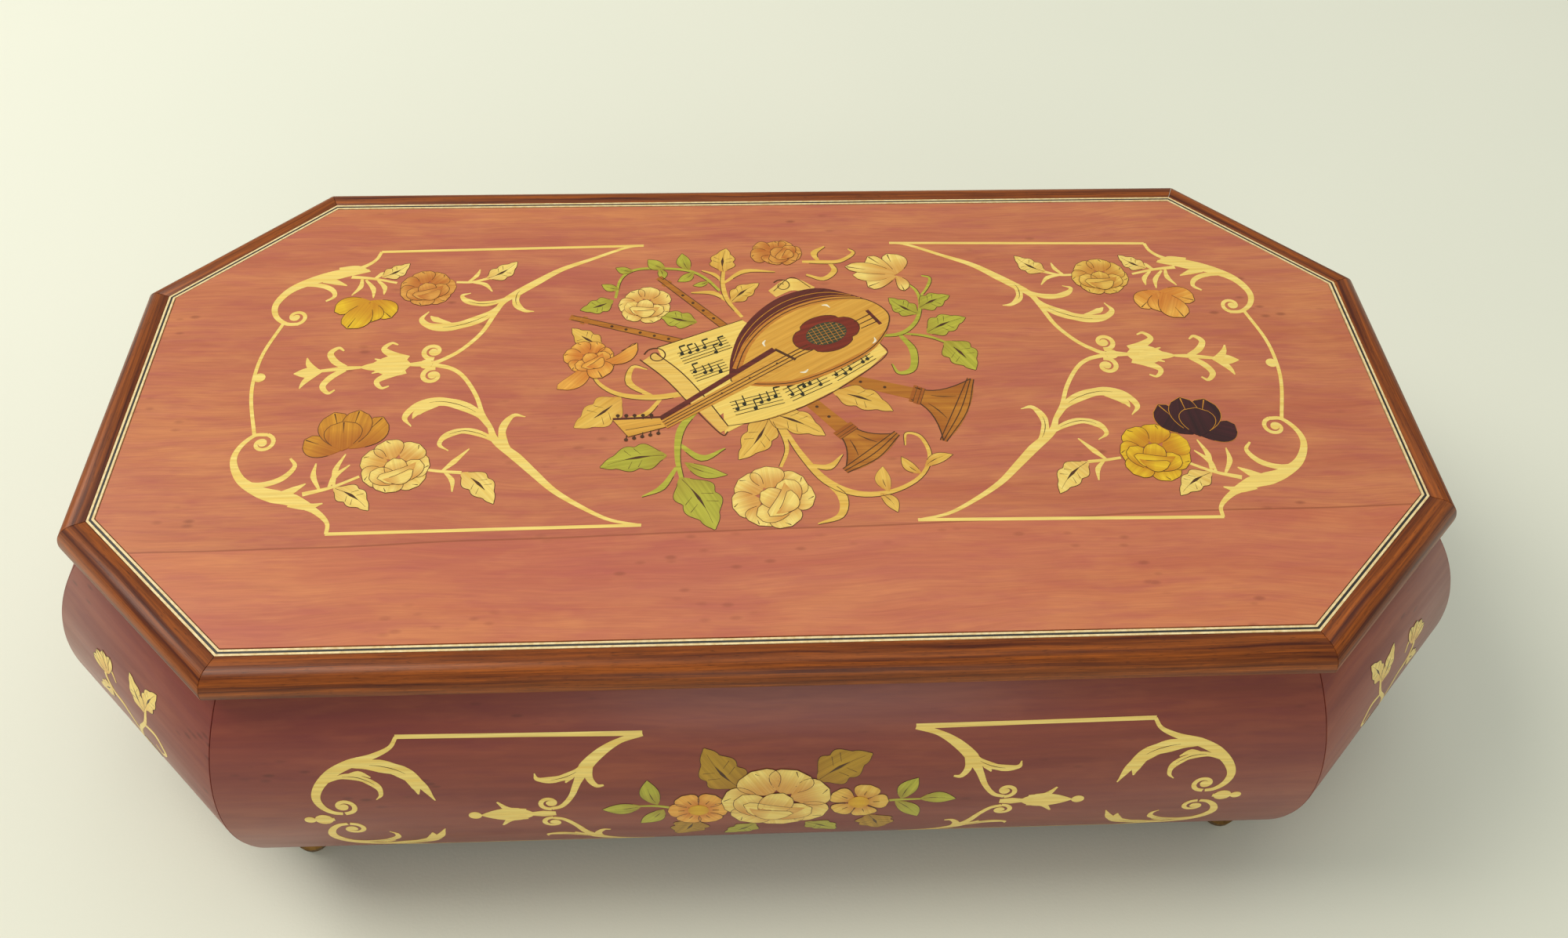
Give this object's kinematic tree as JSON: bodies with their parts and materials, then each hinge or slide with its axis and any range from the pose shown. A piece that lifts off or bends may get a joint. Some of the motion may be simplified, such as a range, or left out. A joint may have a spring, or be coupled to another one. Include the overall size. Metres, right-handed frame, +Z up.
{
  "type": "wind up music box",
  "caption": "Octagonal bombe jewel box with an inlaid hinged lid, velvet tray and a key-wound cylinder music movement under a clear cover.",
  "frame": {"origin": "centre of the overall box on the surface that the feet stand on", "axes": "+X along the box to the right, -Y the front, +Z up; the lid is closed"},
  "size_m": [0.3204, 0.1702, 0.079],
  "materials": {
    "rose_veneer": "satin lacquered rose dyed veneer with inlay",
    "moulding_wood": "satin lacquered brown hardwood",
    "stringing": "white and black line of veneer",
    "bare_wood": "plain sanded board",
    "velvet": "dark red velvet",
    "brass": "polished brass",
    "aged_brass": "dark antique brass",
    "steel": "ground steel",
    "casting": "nickelled casting",
    "clear_cover": "clear acrylic sheet"
  },
  "bodies": {
    "case": {"panel_front": "rose_veneer", "panel_front_right": "rose_veneer", "panel_right": "rose_veneer", "panel_back_right": "rose_veneer", "panel_back": "rose_veneer", "panel_back_left": "rose_veneer", "panel_left": "rose_veneer", "panel_front_left": "rose_veneer", "base_board": "bare_wood", "bay_partition": "bare_wood", "cover_cleat": "bare_wood", "tray_floor_pad": "velvet", "tray_lining": "velvet", "ring_roll_1": "velvet", "ring_roll_2": "velvet", "ring_roll_3": "velvet", "hinge_case_leaf_left": "brass", "hinge_case_leaf_right": "brass", "foot_front_left": "aged_brass", "foot_front_right": "aged_brass", "foot_back_left": "aged_brass", "foot_back_right": "aged_brass", "comb": "steel", "comb_screw_1": "steel", "comb_screw_2": "steel", "cover_screw_left": "steel", "cover_screw_right": "steel", "movement_screw_1": "steel", "movement_screw_2": "steel", "movement_screw_3": "steel", "bedplate": "casting", "cylinder_bracket": "casting", "barrel_bridge": "casting", "governor_frame": "casting", "movement_cover": "clear_cover"},
    "lid": {"lid_board": "bare_wood", "lid_veneer": "rose_veneer", "lid_stringing": "stringing", "lid_lining": "velvet", "hinge_lid_leaf_left": "brass", "hinge_lid_leaf_right": "brass", "lid_moulding_front": "moulding_wood", "lid_moulding_front_right": "moulding_wood", "lid_moulding_right": "moulding_wood", "lid_moulding_back_right": "moulding_wood", "lid_moulding_back": "moulding_wood", "lid_moulding_back_left": "moulding_wood", "lid_moulding_left": "moulding_wood", "lid_moulding_front_left": "moulding_wood"},
    "winding": {"winding_key": "aged_brass", "winding_arbor": "steel"},
    "barrel": {"spring_barrel": "brass", "mainspring": "steel"},
    "cylinder": {"pin_cylinder": "brass", "cylinder_arbor": "steel", "cylinder_wheel": "brass"},
    "governor_gear": {"governor_wheel": "brass"},
    "fly": {"governor_fly": "brass"},
    "stop_pin": {"stop_pin": "steel"},
    "stop_lever": {"stop_lever": "steel"}
  },
  "joints": [
    {"name": "lid_hinge", "type": "hinge", "parent": "case", "child": "lid", "pos_m": [0, 0.0735, 0.07085], "axis": [-1, 0, 0], "range_deg": [0, 95]},
    {"name": "key_winding", "type": "hinge", "parent": "case", "child": "winding", "pos_m": [-0.09705, 0.027, 0.01], "axis": [0, 0, 1], "continuous": true},
    {"name": "cylinder_spin", "type": "hinge", "parent": "case", "child": "cylinder", "pos_m": [-0.09705, 0, 0.0445], "axis": [0, 1, 0], "continuous": true},
    {"name": "barrel_spin", "type": "hinge", "parent": "case", "child": "barrel", "pos_m": [-0.09705, 0.027, 0.03], "axis": [0, 0, 1], "continuous": true},
    {"name": "governor_wheel_spin", "type": "hinge", "parent": "case", "child": "governor_gear", "pos_m": [-0.10571, -0.0392, 0.0395], "axis": [0, 1, 0], "continuous": true},
    {"name": "fly_spin", "type": "hinge", "parent": "case", "child": "fly", "pos_m": [-0.11331, -0.0392, 0.0395], "axis": [0, 0, 1], "continuous": true},
    {"name": "stop_pin_slide", "type": "slide", "parent": "case", "child": "stop_pin", "axis": [0, 0, 1], "range_m": [0, 0.0025]},
    {"name": "stop_lever_swing", "type": "hinge", "parent": "case", "child": "stop_lever", "pos_m": [-0.11331, -0.05, 0.046], "axis": [-1, 0, 0], "range_deg": [0, 19]}
  ],
  "couplings": [
    {"joint": "barrel_spin", "follows": "cylinder_spin", "ratio": -0.33333},
    {"joint": "governor_wheel_spin", "follows": "cylinder_spin", "ratio": -4},
    {"joint": "fly_spin", "follows": "cylinder_spin", "ratio": 96},
    {"joint": "stop_pin_slide", "follows": "lid_hinge", "m_per_rad": 0.0015},
    {"joint": "stop_lever_swing", "follows": "lid_hinge", "ratio": 0.2}
  ]
}
